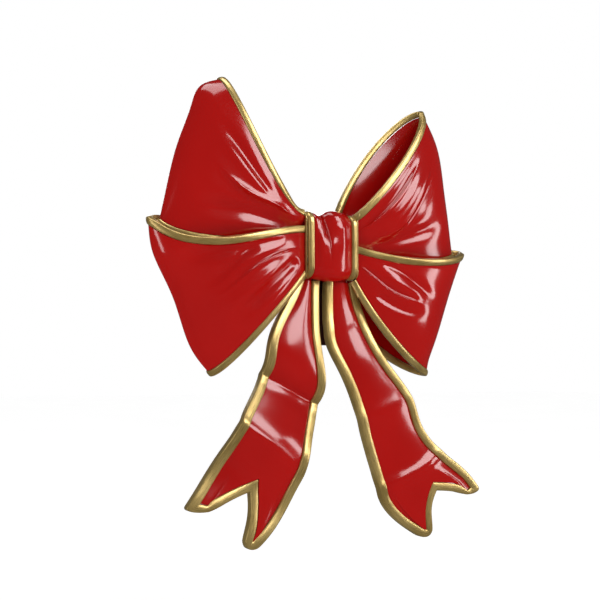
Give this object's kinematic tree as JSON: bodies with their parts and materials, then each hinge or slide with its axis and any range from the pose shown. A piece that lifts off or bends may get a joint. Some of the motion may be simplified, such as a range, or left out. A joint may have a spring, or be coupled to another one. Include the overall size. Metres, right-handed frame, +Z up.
{
  "type": "wall-mounted display bow",
  "caption": "Rigid ribbon bow for wall or window display: hollow loops, banded knot and wavy notched tails with raised rims, on a flat mounting batten.",
  "frame": {"origin": "middle of the batten's back face, on the wall plane", "axes": "+Z up, the bow faces -Y, +X to the right seen from the front"},
  "size_m": [0.4801, 0.1051, 0.5956],
  "materials": {
    "lacquer": "high gloss lacquer",
    "gold": "brushed satin gold",
    "core_timber": "sawn softwood",
    "batten_black": "satin black stain",
    "screw_steel": "zinc plated",
    "insert_brass": "machined"
  },
  "bodies": {
    "root": {"upper_left_loop": "lacquer", "upper_left_loop_lower_rim": "gold", "upper_left_loop_upper_rim": "gold", "lower_left_loop": "lacquer", "lower_left_loop_lower_rim": "gold", "lower_left_loop_upper_rim": "gold", "upper_right_loop": "lacquer", "upper_right_loop_lower_rim": "gold", "upper_right_loop_upper_rim": "gold", "lower_right_loop": "lacquer", "lower_right_loop_lower_rim": "gold", "lower_right_loop_upper_rim": "gold", "left_tail": "lacquer", "left_tail_rim": "gold", "knot_left_rim": "gold", "right_tail": "lacquer", "right_tail_rim": "gold", "knot_right_rim": "gold", "knot_band": "lacquer", "core_block": "core_timber", "mounting_batten": "batten_black", "core_screws": "screw_steel", "tail_screws": "screw_steel", "fixing_inserts": "insert_brass"}
  },
  "joints": []
}
